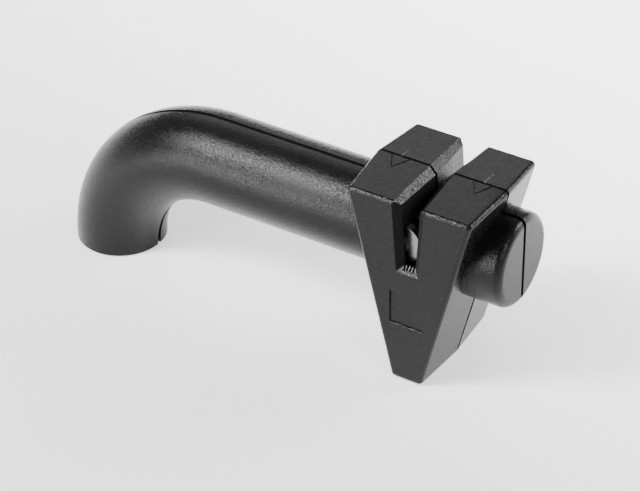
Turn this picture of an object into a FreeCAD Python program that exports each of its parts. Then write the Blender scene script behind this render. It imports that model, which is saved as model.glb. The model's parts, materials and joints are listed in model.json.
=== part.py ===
import FreeCAD, Part
import math
import os
import Sketcher

# Pull-through knife sharpener: a bent tubular handle and a wedge-shaped head with a slot, moulded as
# a front and a rear half, around two rollers of interleaved steel discs.
# +X runs along the handle to the nose, -Y is the front, +Z is up, and the origin is under the
# middle of the object, on the surface that it stands on. Millimetres and degrees.

sizes = {
    # whole object
    "overall_length": 185.0,
    "nose_reach": 31.6,
    "cut_overrun": 2.0,
    # tubular handle and nose
    "tube_diameter": 33.8,
    "tube_drop": 26.1,
    "tube_wall": 2.4,
    "nose_edge_radius": 3.0,
    "leg_length": 0.2,
    "foot_wall": 3.4,
    "rib_height": 3.0,
    "rib_thickness": 1.6,
    # wedge-shaped head
    "head_depth": 46.0,
    "head_height": 74.9,
    "head_bottom_width": 14.4,
    "head_side_draft": 1.45,
    "head_top_draft": 1.55,
    "head_edge_radius": 1.6,
    "head_face_wall": 3.0,
    "head_side_wall": 2.5,
    "head_roof_wall": 2.4,
    "head_floor_wall": 3.4,
    # knife slot
    "slot_depth": 27.0,
    "slot_floor_width": 4.2,
    "slot_neck_width": 4.22,
    "slot_neck_spread": 1.75,
    "slot_neck_drop": 0.8,
    "slot_mouth_chamfer": 2.65,
    "slot_edge_chamfer": 2.3,
    "slot_wall": 1.8,
    "slot_wall_gap": 0.8,
    # slits in the floor of the slot, through which filings fall
    "comb_slit_width": 0.6,
    "comb_slit_pitch": 1.15,
    "comb_slit_depth": 2.4,
    "comb_lip": 0.9,
    # seam between the halves, with the lip of the front half inside it
    "seam_width": 0.6,
    "seam_depth": 0.9,
    "lip_inset": 1.4,
    "lip_height": 0.9,
    "lip_clearance": 0.1,
    # bare square recess on the front face
    "recess_width": 13.2,
    "recess_drop": 17.4,
    "recess_depth": 0.5,
    # rollers
    "axle_drop": 21.15,
    "axle_diameter": 3.0,
    "axle_socket_depth": 1.2,
    "axle_boss_height": 1.05,
    "axle_end_chamfer": 0.3,
    "hub_wall": 0.65,
    "spacer_wall": 0.6,
    "spacer_gap": 0.5,
    "disc_overlap": 2.3,
    "disc_gap": 0.4,
    "disc_side_room": 2.85,
    "disc_rim_chamfer": 0.25,
    "washer_overhang": 0.5,
    "washer_thickness": 0.95,
    "roller_end_float": 0.15,
    "running_clearance": 0.05,
    "press_clearance": 0.01,
    # screws, their bosses and the locating pegs
    "screw_length": 14.0,
    "screw_diameter": 2.9,
    "screw_head_diameter": 5.4,
    "screw_head_height": 2.0,
    "screw_head_round": 0.8,
    "screw_seat_depth": 5.0,
    "screw_clearance": 0.2,
    "pilot_extra_depth": 1.0,
    "front_boss_diameter": 6.8,
    "rear_boss_diameter": 9.2,
    "bend_screw_angle": 45.0,
    "head_screw_height": 21.0,
    "peg_diameter": 2.4,
    "peg_length": 2.5,
    "peg_boss_diameter": 5.2,
    "peg_spacing": 27.0,
    "peg_drop": 6.2,
    # non-slip pads
    "pad_thickness": 1.6,
    "pad_proud": 0.4,
    "pad_clearance": 0.15,
    "head_pad_side_margin": 3.3,
    "head_pad_end_margin": 7.4,
    "head_pad_corner_radius": 2.0,
    "foot_pad_margin": 5.0,
}
left_disc_count = 6
comb_slit_count = 4
handle_screw_shares = (0.18, 0.64)
handle_rib_shares = (0.02, 0.41, 0.72)
nose_screw_share = 0.7

doc = FreeCAD.newDocument("KnifeSharpener")
sheet = doc.addObject("Spreadsheet::Sheet", "Sizes")
for row, (alias, value) in enumerate(sizes.items(), start=1):
    sheet.set(f"A{row}", alias)
    sheet.set(f"B{row}", str(value))
    sheet.setAlias(f"B{row}", alias)
doc.recompute()


class Dim:
    """A size with the sheet expression that drives it beside its present value."""

    def __init__(self, text, value):
        self.text = text
        self.value = value

    def __add__(self, other):
        other = as_dim(other)
        return Dim(f"({self.text} + {other.text})", self.value + other.value)

    def __sub__(self, other):
        other = as_dim(other)
        return Dim(f"({self.text} - {other.text})", self.value - other.value)

    def __mul__(self, other):
        other = as_dim(other)
        return Dim(f"({self.text} * {other.text})", self.value * other.value)

    def __truediv__(self, other):
        other = as_dim(other)
        return Dim(f"({self.text} / {other.text})", self.value / other.value)

    def __neg__(self):
        return Dim(f"(-{self.text})", -self.value)


def as_dim(number):
    return number if isinstance(number, Dim) else Dim(f"({number!r})", number)


def size(alias):
    return Dim(f"Sizes.{alias}", float(sheet.get(alias)))


def root(dim):
    return Dim(f"sqrt({dim.text})", math.sqrt(dim.value))


def sine(angle):
    return Dim(f"sin({angle.text} * 1 deg)", math.sin(math.radians(angle.value)))


def cosine(angle):
    return Dim(f"cos({angle.text} * 1 deg)", math.cos(math.radians(angle.value)))


zero = Dim("0", 0.0)
front, rear = 1, -1

# Places that several pieces share
overrun = size("cut_overrun")
base_height = size("pad_proud")
tube_radius = size("tube_diameter") / 2
axis_height = size("head_height") - size("tube_drop")
bend_height = base_height + size("leg_length")
bend_radius = axis_height - bend_height
nose_end = size("overall_length") / 2
head_x = nose_end - size("nose_reach")
foot_x = tube_radius - nose_end
bend_x = foot_x + bend_radius
half_depth = size("head_depth") / 2
inner_depth = half_depth - size("head_face_wall")
axle_height = size("head_height") - size("axle_drop")
axle_radius = size("axle_diameter") / 2
hub_radius = axle_radius + size("running_clearance") + size("hub_wall")
spacer_radius = hub_radius + size("spacer_wall")
washer_radius = spacer_radius + size("washer_overhang")
axle_offset = spacer_radius + size("spacer_gap") + size("disc_overlap")
disc_radius = axle_offset + size("disc_overlap")
roller_room = axle_offset + disc_radius + size("disc_side_room")
axle_half_width = roller_room + size("head_side_wall") + size("head_side_draft")
side_slope = (axle_half_width - size("head_bottom_width") / 2) / (axle_height - base_height)
side_lean = root(side_slope * side_slope + 1)
slot_floor = size("head_height") - size("slot_depth")
slot_wall_end = axle_height + disc_radius + size("slot_wall_gap")
pad_half_width = size("head_bottom_width") / 2 - size("head_pad_side_margin")
pad_half_length = half_depth - size("head_pad_end_margin")
foot_pad_radius = tube_radius - size("foot_pad_margin")


def bind(target, name, dim):
    target.setExpression(name, dim.text)


def new_body(name):
    return doc.addObject("PartDesign::Body", name)


def new_sketch(body, name, plane, lift=zero, shift=zero):
    """A sketch on one of the body's own planes, lifted along its normal and shifted along its V axis."""
    sketch = body.newObject("Sketcher::SketchObject", name)
    support = [feature for feature in body.Origin.OriginFeatures if feature.Role == plane][0]
    sketch.AttachmentSupport = (support, [""])
    sketch.MapMode = "FlatFace"
    bind(sketch, "AttachmentOffset.Base.z", lift)
    bind(sketch, "AttachmentOffset.Base.y", shift)
    return sketch


def pin_point(sketch, geometry, point, place):
    """Holds a sketch point at a place given from the sketch's origin."""
    for axis, dim in zip("XY", place):
        hold = Sketcher.Constraint(f"Distance{axis}", -1, 1, geometry, point, dim.value)
        index = sketch.addConstraint(hold)
        sketch.renameConstraint(index, f"{axis.lower()}_{geometry}_{point}")
        bind(sketch, f"Constraints.{axis.lower()}_{geometry}_{point}", dim)


def draw_outline(sketch, corners, arcs=None):
    """A closed outline, corners counter-clockwise; arcs gives the radius of the edges that bulge out."""
    arcs = arcs or {}
    places = [FreeCAD.Vector(across.value, up.value, 0) for across, up in corners]
    first = sketch.GeometryCount
    count = len(corners)
    for number, start in enumerate(places):
        end = places[(number + 1) % count]
        if number in arcs:
            radius = arcs[number].value
            chord = end - start
            inward = FreeCAD.Vector(-chord.y, chord.x, 0).normalize()
            middle = start + chord * 0.5
            centre = middle + inward * math.sqrt(radius ** 2 - (chord.Length / 2) ** 2)
            circle = Part.Circle(centre, FreeCAD.Vector(0, 0, 1), radius)
            angles = [math.atan2(point.y - centre.y, point.x - centre.x) for point in (start, end)]
            sketch.addGeometry(Part.ArcOfCircle(circle, *angles), False)
        else:
            sketch.addGeometry(Part.LineSegment(start, end), False)
    for number in range(count):
        following = first + (number + 1) % count
        sketch.addConstraint(Sketcher.Constraint("Coincident", first + number, 2, following, 1))
    for number, place in enumerate(corners):
        pin_point(sketch, first + number, 1, place)
    for number, radius in arcs.items():
        index = sketch.addConstraint(Sketcher.Constraint("Radius", first + number, radius.value))
        sketch.renameConstraint(index, f"radius_{number}")
        bind(sketch, f"Constraints.radius_{number}", radius)


def draw_circle(sketch, centre, radius):
    place = FreeCAD.Vector(centre[0].value, centre[1].value, 0)
    geometry = sketch.addGeometry(Part.Circle(place, FreeCAD.Vector(0, 0, 1), radius.value), False)
    pin_point(sketch, geometry, 3, centre)
    index = sketch.addConstraint(Sketcher.Constraint("Radius", geometry, radius.value))
    sketch.renameConstraint(index, f"radius_{geometry}")
    bind(sketch, f"Constraints.radius_{geometry}", radius)


def rectangle(left, low, right, high):
    return [(left, low), (right, low), (right, high), (left, high)]


def extrude(body, name, sketch, length, reverse=False, kind="Pad"):
    feature = body.newObject(f"PartDesign::{kind}", name)
    feature.Profile = sketch
    feature.Reversed = reverse
    bind(feature, "Length", length)
    return feature


def revolve(body, name, sketch, axis, angle=360.0, reverse=False):
    feature = body.newObject("PartDesign::Revolution", name)
    feature.Profile = sketch
    feature.ReferenceAxis = (sketch, [axis])
    feature.Angle = angle
    feature.Reversed = reverse
    return feature


def loft(body, name, sections):
    """A ruled loft through outlines, each given with its depth behind the seam plane."""
    sketches = []
    for number, (depth, corners) in enumerate(sections):
        sketch = new_sketch(body, f"{name}Section{number}", "XZ_Plane", depth)
        draw_outline(sketch, corners)
        sketches.append(sketch)
    feature = body.newObject("PartDesign::AdditiveLoft", name)
    feature.Profile = sketches[0]
    feature.Sections = sketches[1:]
    feature.Ruled = True
    return feature


def boolean(kind, name, base, tool):
    feature = doc.addObject(f"Part::{kind}", name)
    feature.Base = base
    feature.Tool = tool
    feature.Refine = True
    return feature


def union(name, shapes):
    feature = doc.addObject("Part::MultiFuse", name)
    feature.Shapes = shapes
    feature.Refine = True
    return feature


def head_half_width(height, depth):
    draft = size("head_side_draft") * (depth / half_depth)
    return size("head_bottom_width") / 2 + side_slope * (height - base_height) - draft


def head_corners(depth, side_inset, floor_inset, roof_inset):
    """The head's wedge outline at a depth, drawn in by its walls."""
    low = base_height + floor_inset
    high = size("head_height") - size("head_top_draft") * (depth / half_depth) - roof_inset
    low_half = head_half_width(low, depth) - side_inset * side_lean
    high_half = head_half_width(high, depth) - side_inset * side_lean
    return [(head_x - low_half, low), (head_x + low_half, low),
            (head_x + high_half, high), (head_x - high_half, high)]


def add_tube(body, radius, end, end_round, low):
    """The straight tube with its rounded end, the quarter bend and the leg down to the foot."""
    straight = new_sketch(body, "StraightProfile", "XZ_Plane", shift=axis_height)
    corners = [(bend_x, zero), (end, zero), (end, radius - end_round), (end - end_round, radius),
               (bend_x, radius)]
    draw_outline(straight, corners, {2: end_round})
    revolve(body, "Straight", straight, "H_Axis")
    bend = new_sketch(body, "BendProfile", "YZ_Plane", lift=bend_x, shift=bend_height)
    draw_circle(bend, (zero, bend_radius), radius)
    revolve(body, "Bend", bend, "H_Axis", 90.0, True)
    leg = new_sketch(body, "LegProfile", "XY_Plane", lift=bend_height)
    draw_circle(leg, (foot_x, zero), radius)
    extrude(body, "Leg", leg, bend_height + overrun, True)
    floor = new_sketch(body, "FootFloor", "XY_Plane", lift=low)
    reach = size("overall_length")
    draw_outline(floor, rectangle(-reach, -reach, bend_x, reach))
    extrude(body, "FootCut", floor, reach, kind="Pocket")


def keep_front_half(body):
    """Takes away what lies behind the seam plane."""
    reach = size("overall_length")
    sketch = new_sketch(body, "FarSide", "XZ_Plane")
    draw_outline(sketch, rectangle(-reach, -reach, reach, reach))
    extrude(body, "SeamCut", sketch, reach, kind="Pocket")


def outer_form(inset, name, round_edges=False):
    """The front half of the outside, or the same form drawn in evenly by an inset."""
    body = new_body(name)
    wedge = loft(body, "Wedge", [
        (zero, head_corners(zero, inset, inset, inset)),
        (half_depth, head_corners(half_depth, inset, inset, inset))])
    if round_edges:
        doc.recompute()
        rounded = body.newObject("PartDesign::Fillet", "WedgeEdges")
        edges = [f"Edge{number}" for number, edge in enumerate(wedge.Shape.Edges, start=1)
                 if min(vertex.Y for vertex in edge.Vertexes) < -half_depth.value / 2]
        rounded.Base = (wedge, edges)
        bind(rounded, "Radius", size("head_edge_radius"))
    end_round = size("nose_edge_radius") - inset
    add_tube(body, tube_radius - inset, nose_end - inset, end_round, base_height + inset)
    keep_front_half(body)
    return body


def cavity_form(name):
    """The hollow of the front half: inside of the head, the nose, the handle and the leg."""
    body = new_body(name)
    walls = (size("head_side_wall") / side_lean, size("head_floor_wall"), size("head_roof_wall"))
    loft(body, "Inside", [
        (zero, head_corners(zero, *walls)),
        (inner_depth, head_corners(inner_depth, *walls))])
    wall = size("tube_wall")
    end_round = size("nose_edge_radius") / 2
    add_tube(body, tube_radius - wall, nose_end - wall, end_round, base_height + size("foot_wall"))
    keep_front_half(body)
    return body


neck_height = size("head_height") - size("slot_mouth_chamfer")
slot_lean = (size("slot_neck_width") - size("slot_floor_width")) / 2


def slot_half_width(height, depth):
    """Half the slot's width: it hardly widens upwards at the seam, and more and more towards the faces."""
    rise = (height - slot_floor) / (neck_height - slot_floor)
    spread = slot_lean + size("slot_neck_spread") * (depth / half_depth)
    return size("slot_floor_width") / 2 + spread * rise


def slot_corners(depth, outset):
    """The slot with its flared mouth at a depth, widened by an outset."""
    floor = slot_floor - outset
    neck = neck_height - size("slot_neck_drop") * (depth / half_depth)
    flare = size("slot_mouth_chamfer") + overrun
    floor_half = slot_half_width(floor, depth) + outset
    neck_half = slot_half_width(neck, depth) + outset
    mouth_half = neck_half + flare
    top = neck + flare
    return [(head_x - floor_half, floor), (head_x + floor_half, floor), (head_x + neck_half, neck),
            (head_x + mouth_half, top), (head_x - mouth_half, top), (head_x - neck_half, neck)]


def straight_slot_corners(depth, outset, low, high):
    low_half = slot_half_width(low, depth) + outset
    high_half = slot_half_width(high, depth) + outset
    return [(head_x - low_half, low), (head_x + low_half, low),
            (head_x + high_half, high), (head_x - high_half, high)]


def slot_form(outset, name):
    body = new_body(name)
    far = half_depth + overrun
    loft(body, "Slot", [
        (-overrun, slot_corners(-overrun, outset)),
        (far, slot_corners(far, outset))])
    return body


def slot_edge_form(name):
    """Opens the slot's sides and its floor to a chamfer where they meet the head's face."""
    body = new_body(name)
    top = size("head_height") + overrun
    near = half_depth - size("slot_edge_chamfer")
    far = half_depth + overrun
    outset = size("slot_edge_chamfer") + overrun
    loft(body, "SlotEdge", [
        (near, straight_slot_corners(near, zero, slot_floor, top)),
        (far, straight_slot_corners(far, outset, slot_floor - outset, top))])
    return body


def slot_wall_form(name):
    """The block that the slot's own two walls are cut from."""
    body = new_body(name)
    far = half_depth - size("head_face_wall") / 2
    sections = []
    for depth in (zero, far):
        roof = size("head_height") - size("head_top_draft") * (depth / half_depth)
        top = roof - size("head_roof_wall") / 2
        sections.append((depth, straight_slot_corners(depth, size("slot_wall"), slot_wall_end, top)))
    loft(body, "SlotWalls", sections)
    return body


def seam_slab(name, low, thickness):
    """A slab on the front of the seam plane, above a height."""
    body = new_body(name)
    sketch = new_sketch(body, "SlabOutline", "XZ_Plane")
    reach = size("overall_length")
    draw_outline(sketch, rectangle(-reach, low, reach, reach))
    extrude(body, "Slab", sketch, thickness)
    return body


def seam_groove(name):
    """What the seam line takes from the outer edge of the front half."""
    core = outer_form(size("seam_depth"), f"{name}Core")
    opened = boolean("Cut", f"{name}Opened", core, slot_form(size("seam_depth"), f"{name}Slot"))
    slab = seam_slab(f"{name}Slab", -size("overall_length"), size("seam_width") / 2)
    return boolean("Cut", name, slab, opened)


def seam_lip(name, cavity, clearance):
    """The inner part of the walls next to the seam, where the front half reaches into the rear one."""
    inset = size("lip_inset") - clearance
    low = base_height + size("foot_wall") - clearance
    core = outer_form(inset, f"{name}Core")
    slab = seam_slab(f"{name}Slab", low, size("lip_height") + clearance)
    band = boolean("Common", f"{name}Band", core, slab)
    inside = union(f"{name}Inside", [cavity, slot_form(inset, f"{name}Slot")])
    lip = boolean("Cut", f"{name}Front", band, inside)
    return mirror_image(name, lip)


def mirror_image(name, source):
    """The same form on the other side of the seam plane."""
    mirrored = doc.addObject("Part::Mirroring", name)
    mirrored.Source = source
    mirrored.Normal = FreeCAD.Vector(0, 1, 0)
    return mirrored


def rods(side, name, places, radius, near, far):
    """Round rods across the object, from one depth to another."""
    body = new_body(name)
    sketch = new_sketch(body, "RodCircles", "XZ_Plane", near * side)
    for place in places:
        draw_circle(sketch, place, radius)
    extrude(body, "Rods", sketch, far - near, side == rear)
    return body


bend_angle = size("bend_screw_angle")
bend_screw = (bend_x - bend_radius * sine(bend_angle), bend_height + bend_radius * cosine(bend_angle))
handle_screws = [(bend_x + (head_x - bend_x) * share, axis_height) for share in handle_screw_shares]
nose_length = nose_end - head_x - head_half_width(axis_height, zero)
nose_screw = (nose_end - nose_length * nose_screw_share, axis_height)
head_screw = (head_x, size("head_screw_height"))
tube_screws = [bend_screw, *handle_screws, nose_screw]
all_screws = [*tube_screws, head_screw]
peg_height = size("head_height") - size("peg_drop")
pegs = [(head_x - size("peg_spacing") / 2, peg_height), (head_x + size("peg_spacing") / 2, peg_height)]
axles = {"left": head_x - axle_offset, "right": head_x + axle_offset}
axle_places = [(place, axle_height) for place in axles.values()]
tube_boss_end = tube_radius - size("tube_wall") / 2
head_boss_end = half_depth - size("head_face_wall") / 2


def pad_recesses(name):
    """Shallow pockets under the head and the foot for the pads."""
    body = new_body(name)
    sketch = new_sketch(body, "Recesses", "XY_Plane", lift=base_height - overrun)
    half_width = pad_half_width + size("pad_clearance")
    half_length = pad_half_length + size("pad_clearance")
    draw_outline(sketch, rectangle(head_x - half_width, -half_length, head_x + half_width, half_length))
    draw_circle(sketch, (foot_x, zero), foot_pad_radius + size("pad_clearance"))
    extrude(body, "Recess", sketch, size("pad_thickness") - base_height + overrun)
    return body


def comb_slits(name):
    """The row of slits through the floor of the slot, just behind its lip."""
    body = new_body(name)
    sketch = new_sketch(body, "Slits", "XY_Plane", lift=slot_floor - size("comb_slit_depth"))
    lip = -(half_depth - size("comb_lip"))
    inside = -(inner_depth - overrun)
    for number in range(comb_slit_count):
        middle = head_x + size("comb_slit_pitch") * (number - (comb_slit_count - 1) / 2)
        left = middle - size("comb_slit_width") / 2
        right = middle + size("comb_slit_width") / 2
        draw_outline(sketch, rectangle(left, lip, right, inside))
    extrude(body, "Comb", sketch, size("comb_slit_depth") + overrun)
    return body


def front_recess(name):
    body = new_body(name)
    half = size("recess_width") / 2
    middle = slot_floor - size("recess_drop")
    sketch = new_sketch(body, "RecessOutline", "XZ_Plane", half_depth - size("recess_depth"))
    draw_outline(sketch, rectangle(head_x - half, middle - half, head_x + half, middle + half))
    extrude(body, "Recess", sketch, size("recess_depth") + overrun)
    return body


def handle_ribs(name):
    """Half rings that stiffen the handle from inside."""
    body = new_body(name)
    sketch = new_sketch(body, "RibProfiles", "XZ_Plane", shift=axis_height)
    outer = tube_radius - size("tube_wall") / 2
    inner = tube_radius - size("tube_wall") - size("rib_height")
    half = size("rib_thickness") / 2
    for share in handle_rib_shares:
        middle = bend_x + (head_x - bend_x) * share
        draw_outline(sketch, rectangle(middle - half, inner, middle + half, outer))
    revolve(body, "Ribs", sketch, "H_Axis")
    keep_front_half(body)
    return body


def half_moulding(cavity):
    """What the two shells have in common, as the front half."""
    hollow = boolean("Cut", "Hollow", outer_form(zero, "Outer", True), cavity)
    peg_bosses = rods(front, "PegBosses", pegs, size("peg_boss_diameter") / 2, zero, head_boss_end)
    boss_face = inner_depth - size("axle_boss_height")
    axle_bosses = rods(front, "AxleBosses", axle_places, washer_radius, boss_face, head_boss_end)
    socket = axle_radius + size("press_clearance")
    socket_end = inner_depth + size("axle_socket_depth")
    removed = [
        slot_form(zero, "Slot"),
        slot_edge_form("SlotEdges"),
        seam_groove("Seam"),
        rods(front, "Sockets", axle_places, socket, boss_face - overrun, socket_end),
        pad_recesses("PadRecesses"),
        comb_slits("CombSlits"),
    ]
    fittings = [slot_wall_form("SlotWallBlock"), peg_bosses, axle_bosses, handle_ribs("HandleRibs")]
    added = union("HalfAdded", [hollow, *fittings])
    return boolean("Cut", "Half", added, union("HalfRemoved", removed))


def screw_bosses(side, name, diameter):
    radius = diameter / 2
    return [rods(side, f"{name}TubeBosses", tube_screws, radius, zero, tube_boss_end),
            rods(side, f"{name}HeadBoss", [head_screw], radius, zero, head_boss_end)]


shank_radius = size("screw_diameter") / 2
peg_radius = size("peg_diameter") / 2


def front_shell(half, cavity):
    """The front shell takes the screws' points and carries the lip and the locating pegs."""
    bosses = screw_bosses(front, "Front", size("front_boss_diameter"))
    locators = rods(front, "Pegs", pegs, peg_radius, -size("peg_length"), overrun)
    pilot_end = size("screw_length") - size("screw_seat_depth") + size("pilot_extra_depth")
    pilot_radius = shank_radius + size("press_clearance")
    pilots = rods(front, "PilotHoles", all_screws, pilot_radius, -overrun, pilot_end)
    added = union("FrontAdded", [half, *bosses, locators, seam_lip("Lip", cavity, zero)])
    removed = union("FrontRemoved", [pilots, front_recess("FrontRecess")])
    return boolean("Cut", "front_shell", added, removed)


def rear_shell(half, cavity):
    """The rear shell is the front half's mirror image, with wells for the screws' heads."""
    bosses = screw_bosses(rear, "Rear", size("rear_boss_diameter"))
    clear = size("screw_clearance")
    head_radius = size("screw_head_diameter") / 2 + clear
    peg_hole_end = size("peg_length") + clear
    removed = [
        rods(rear, "ShankHoles", all_screws, shank_radius + clear, -overrun, half_depth),
        rods(rear, "HeadWells", all_screws, head_radius, size("screw_seat_depth"), half_depth + overrun),
        rods(rear, "PegHoles", pegs, peg_radius + size("running_clearance"), -overrun, peg_hole_end),
        seam_lip("LipRoom", cavity, size("lip_clearance")),
    ]
    added = union("RearAdded", [mirror_image("RearHalf", half), *bosses])
    return boolean("Cut", "rear_shell", added, union("RearRemoved", removed))


nodes = {}
cavity = cavity_form("Cavity")
half = half_moulding(cavity)
nodes["front_shell"] = front_shell(half, cavity)
nodes["rear_shell"] = rear_shell(half, cavity)


def ring(name, outer, bore, length):
    """A ring about the Y axis, its middle at the origin."""
    body = new_body(name)
    sketch = new_sketch(body, "RingCircles", "XZ_Plane", -length / 2)
    draw_circle(sketch, (zero, zero), outer)
    draw_circle(sketch, (zero, zero), bore)
    extrude(body, "Ring", sketch, length)
    return body


def put(body, across, along, up):
    bind(body, "Placement.Base.x", across)
    bind(body, "Placement.Base.y", along)
    bind(body, "Placement.Base.z", up)


def disc(name):
    body = ring(name, disc_radius, hub_radius + size("press_clearance"), disc_thickness)
    doc.recompute()
    plain = body.Tip
    widest = max(edge.Curve.Radius for edge in plain.Shape.Edges if hasattr(edge.Curve, "Radius"))
    rims = [f"Edge{number}" for number, edge in enumerate(plain.Shape.Edges, start=1)
            if hasattr(edge.Curve, "Radius") and edge.Closed and edge.Curve.Radius == widest]
    bevel = body.newObject("PartDesign::Chamfer", "RimBevel")
    bevel.Base = (plain, rims)
    bind(bevel, "Size", size("disc_rim_chamfer"))
    return body


def turned_pin(name, length, radius, chamfer):
    """A pin along Y with chamfered ends, its middle at the origin."""
    body = new_body(name)
    sketch = new_sketch(body, "PinProfile", "XY_Plane")
    half = length / 2
    draw_outline(sketch, [(zero, -half), (radius - chamfer, -half), (radius, -half + chamfer),
                          (radius, half - chamfer), (radius - chamfer, half), (zero, half)])
    revolve(body, "Pin", sketch, "V_Axis")
    return body


washer_thickness = size("washer_thickness")
washer_seat = inner_depth - size("axle_boss_height")
hub_length = (washer_seat - washer_thickness - size("roller_end_float")) * 2
disc_pitch = (hub_length + size("disc_gap")) / (left_disc_count - 0.5)
disc_thickness = disc_pitch / 2 - size("disc_gap")
gap_length = disc_pitch - disc_thickness
end_gap_length = disc_pitch / 2
spacer_bore = hub_radius + size("press_clearance")
for side_word, across in axles.items():
    is_left = side_word == "left"
    disc_count = left_disc_count if is_left else left_disc_count - 1
    axle_length = (inner_depth + size("axle_socket_depth")) * 2 - size("press_clearance") * 2
    axle = turned_pin(f"{side_word}_axle", axle_length, axle_radius, size("axle_end_chamfer"))
    hub = ring(f"{side_word}_hub", hub_radius, axle_radius + size("running_clearance"), hub_length)
    for piece in (axle, hub):
        put(piece, across, zero, axle_height)
        nodes[piece.Name] = piece
    for number in range(disc_count):
        along = disc_pitch * (number - (disc_count - 1) / 2)
        piece = disc(f"{side_word}_disc_{number + 1}")
        put(piece, across, along, axle_height)
        nodes[piece.Name] = piece
    for number in range(disc_count - 1):
        along = disc_pitch * (number - (disc_count - 2) / 2)
        piece = ring(f"{side_word}_spacer_{number + 1}", spacer_radius, spacer_bore, gap_length)
        put(piece, across, along, axle_height)
        nodes[piece.Name] = piece
    for end_word, sign in (("front", -1), ("rear", 1)):
        piece = ring(f"{side_word}_{end_word}_washer", washer_radius,
                     axle_radius + size("press_clearance"), washer_thickness)
        put(piece, across, (washer_seat - washer_thickness / 2) * sign, axle_height)
        nodes[piece.Name] = piece
        if not is_left:
            piece = ring(f"right_{end_word}_end_spacer", spacer_radius, spacer_bore, end_gap_length)
            put(piece, across, (hub_length / 2 - end_gap_length / 2) * sign, axle_height)
            nodes[piece.Name] = piece


def screw(name):
    """A pan-head screw along Y, its seat at the origin and its tip towards -Y."""
    body = new_body(name)
    sketch = new_sketch(body, "ScrewProfile", "XY_Plane")
    shank = size("screw_diameter") / 2
    head = size("screw_head_diameter") / 2
    round_off = size("screw_head_round")
    tip = -size("screw_length")
    high = size("screw_head_height")
    draw_outline(sketch, [(zero, tip), (shank / 2, tip), (shank, tip + shank), (shank, zero), (head, zero),
                          (head, high - round_off), (head - round_off, high), (zero, high)], {5: round_off})
    revolve(body, "Screw", sketch, "V_Axis")
    return body


screws = []
for number, (across, up) in enumerate(all_screws, start=1):
    piece = screw(f"screw_{number}")
    put(piece, across, size("screw_seat_depth"), up)
    screws.append(piece)
shell_screws = doc.addObject("Part::Compound", "shell_screws")
shell_screws.Links = screws
nodes["shell_screws"] = shell_screws


def head_foot_pad():
    body = new_body("head_foot_pad")
    sketch = new_sketch(body, "PadOutline", "XY_Plane")
    corner = size("head_pad_corner_radius")
    left, right = head_x - pad_half_width, head_x + pad_half_width
    near, far = -pad_half_length, pad_half_length
    draw_outline(sketch, [
        (left + corner, near), (right - corner, near), (right, near + corner), (right, far - corner),
        (right - corner, far), (left + corner, far), (left, far - corner), (left, near + corner)],
        {1: corner, 3: corner, 5: corner, 7: corner})
    extrude(body, "Pad", sketch, size("pad_thickness"))
    return body


def handle_foot_pad():
    body = new_body("handle_foot_pad")
    sketch = new_sketch(body, "PadOutline", "XY_Plane")
    draw_circle(sketch, (foot_x, zero), foot_pad_radius)
    extrude(body, "Pad", sketch, size("pad_thickness"))
    return body


nodes["head_foot_pad"] = head_foot_pad()
nodes["handle_foot_pad"] = handle_foot_pad()

doc.recompute()
failed = [obj.Name for obj in doc.Objects if "Invalid" in obj.State or "Error" in obj.State]
if failed:
    raise RuntimeError(f"These objects failed: {failed}")
for name, node in nodes.items():
    node.Label = name
    if node.Shape.isNull() or not node.Shape.isValid():
        raise RuntimeError(f"{name} has no valid shape")
os.makedirs("parts", exist_ok=True)
for name, node in nodes.items():
    node.Shape.exportStep(f"parts/{name}.step")
    box = node.Shape.optimalBoundingBox()
    print(name, len(node.Shape.Solids), round(node.Shape.Volume, 2),
          [round(v, 2) for v in (box.XMin, box.XMax, box.YMin, box.YMax, box.ZMin, box.ZMax)])
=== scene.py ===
import json
import math

import bmesh
import bpy
import numpy as np
from mathutils import Matrix, Vector


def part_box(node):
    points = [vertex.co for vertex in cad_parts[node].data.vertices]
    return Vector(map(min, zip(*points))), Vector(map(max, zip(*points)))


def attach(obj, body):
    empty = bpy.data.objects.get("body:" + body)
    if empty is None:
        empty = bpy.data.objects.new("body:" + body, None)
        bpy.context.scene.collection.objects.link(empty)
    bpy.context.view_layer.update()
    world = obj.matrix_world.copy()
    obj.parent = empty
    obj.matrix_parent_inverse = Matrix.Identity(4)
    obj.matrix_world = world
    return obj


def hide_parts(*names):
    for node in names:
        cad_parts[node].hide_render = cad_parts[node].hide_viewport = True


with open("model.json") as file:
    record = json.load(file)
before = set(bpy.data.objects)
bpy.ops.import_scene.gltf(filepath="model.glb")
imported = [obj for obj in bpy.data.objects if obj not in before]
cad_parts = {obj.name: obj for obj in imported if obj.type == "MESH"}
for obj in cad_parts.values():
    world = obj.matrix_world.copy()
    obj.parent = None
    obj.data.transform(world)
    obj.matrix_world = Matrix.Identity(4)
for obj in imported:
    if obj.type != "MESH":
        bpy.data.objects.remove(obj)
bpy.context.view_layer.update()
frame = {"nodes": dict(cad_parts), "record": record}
mm = 0.001
print("frame loaded:", len(frame["nodes"]), "nodes")


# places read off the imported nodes

def middleOf(node):
    low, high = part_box(node)
    return (low + high) / 2


headX = middleOf("head_foot_pad").x
footX = middleOf("handle_foot_pad").x
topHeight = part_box("rear_shell")[1].z
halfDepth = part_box("rear_shell")[1].y
leftAxis = middleOf("left_axle")
rightAxis = middleOf("right_axle")


def newPiece(name, data):
    piece = bpy.data.objects.new(name, data)
    bpy.context.scene.collection.objects.link(piece)
    return piece


# shader node helpers

def newFinish(name):
    material = bpy.data.materials.new(name)
    material.use_nodes = True
    tree = material.node_tree
    tree.nodes.clear()
    out = tree.nodes.new("ShaderNodeOutputMaterial")
    shader = tree.nodes.new("ShaderNodeBsdfPrincipled")
    tree.links.new(shader.outputs["BSDF"], out.inputs["Surface"])
    return material, tree, shader


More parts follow.
